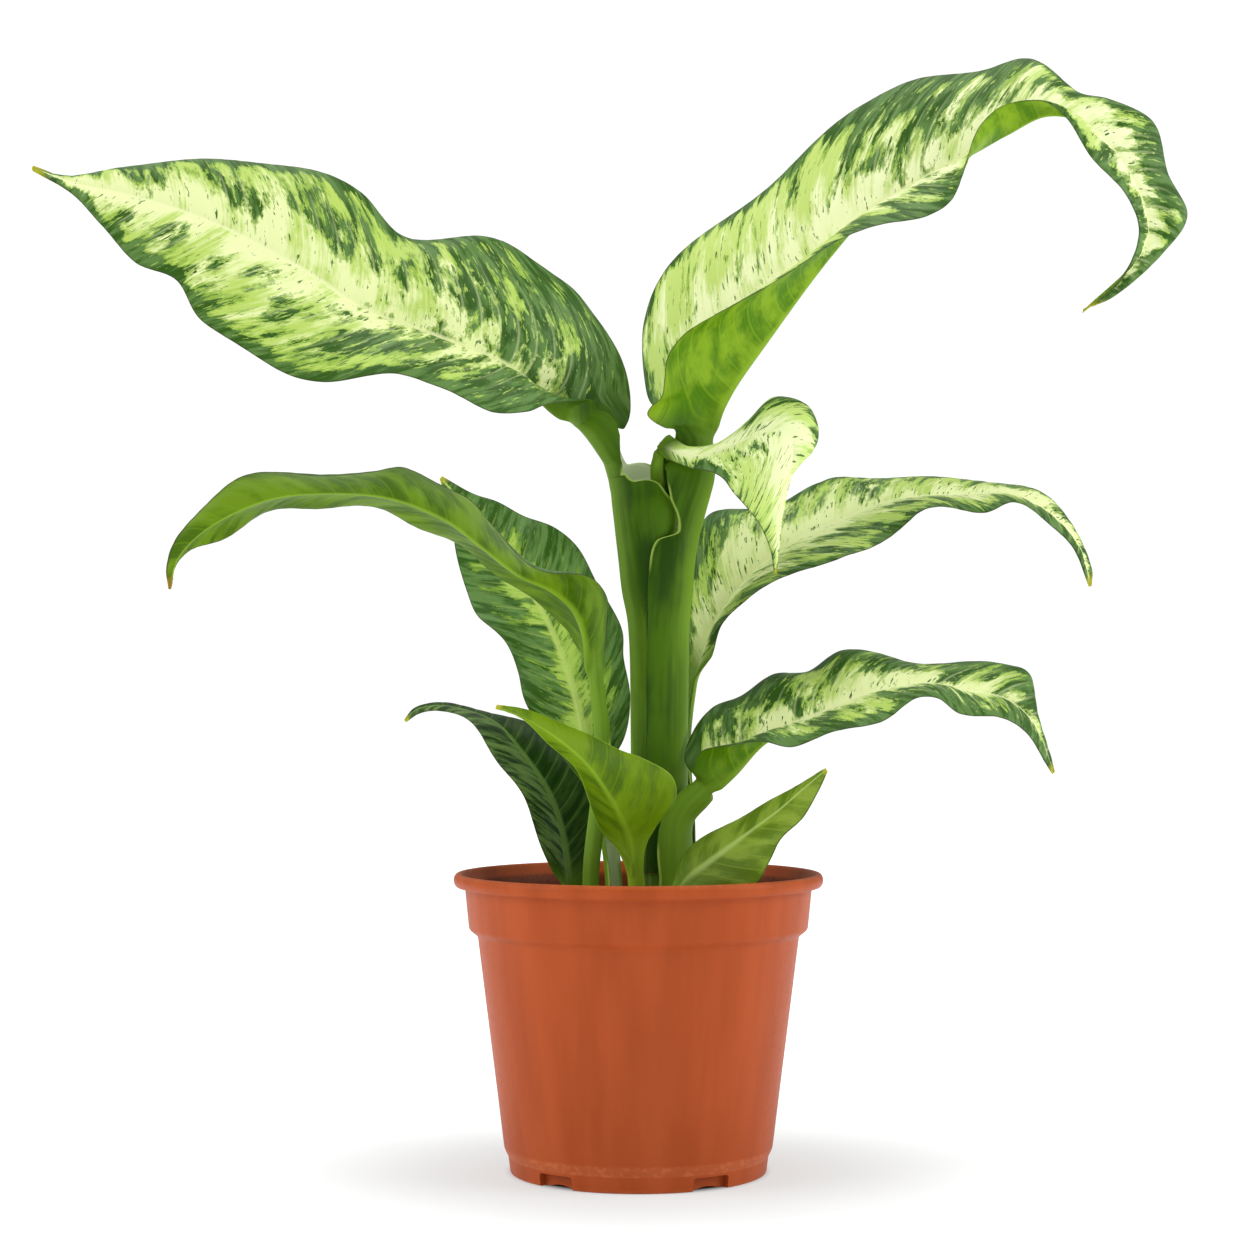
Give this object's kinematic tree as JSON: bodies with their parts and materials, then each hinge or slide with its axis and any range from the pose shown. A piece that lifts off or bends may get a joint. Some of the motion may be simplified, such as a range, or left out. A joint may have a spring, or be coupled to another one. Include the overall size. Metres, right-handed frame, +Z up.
{
  "type": "potted dieffenbachia",
  "caption": "Young dieffenbachia with cream-marbled arching leaves and plain green lower leaves, in a round terracotta-coloured plastic nursery pot.",
  "frame": {"origin": "centre of the flat pad under the pot, on the surface that the pot stands on", "axes": "+Z up along the pot's axis, +X to the right along the spread of the two large upper leaves, -Y towards the front"},
  "size_m": [0.3662, 0.1519, 0.3672],
  "materials": {
    "pot_plastic": "satin moulded",
    "potting_soil": "rough, crumbly",
    "stem_green": "smooth, waxy",
    "leaf_marbled": "glossy upper side, dark green marbled with cream",
    "leaf_plain": "satin",
    "leaf_young": "glossy, pale"
  },
  "bodies": {
    "root": {"pot": "pot_plastic", "soil": "potting_soil", "cane": "stem_green", "leaf_upper_left": "leaf_marbled", "leaf_upper_right": "leaf_marbled", "leaf_new": "leaf_young", "leaf_middle_left": "leaf_plain", "leaf_middle_left_back": "leaf_marbled", "leaf_middle_right": "leaf_marbled", "leaf_lower_right": "leaf_marbled", "leaf_lower_left_back": "leaf_plain", "leaf_front_left": "leaf_plain", "leaf_front_right": "leaf_plain"}
  },
  "joints": []
}
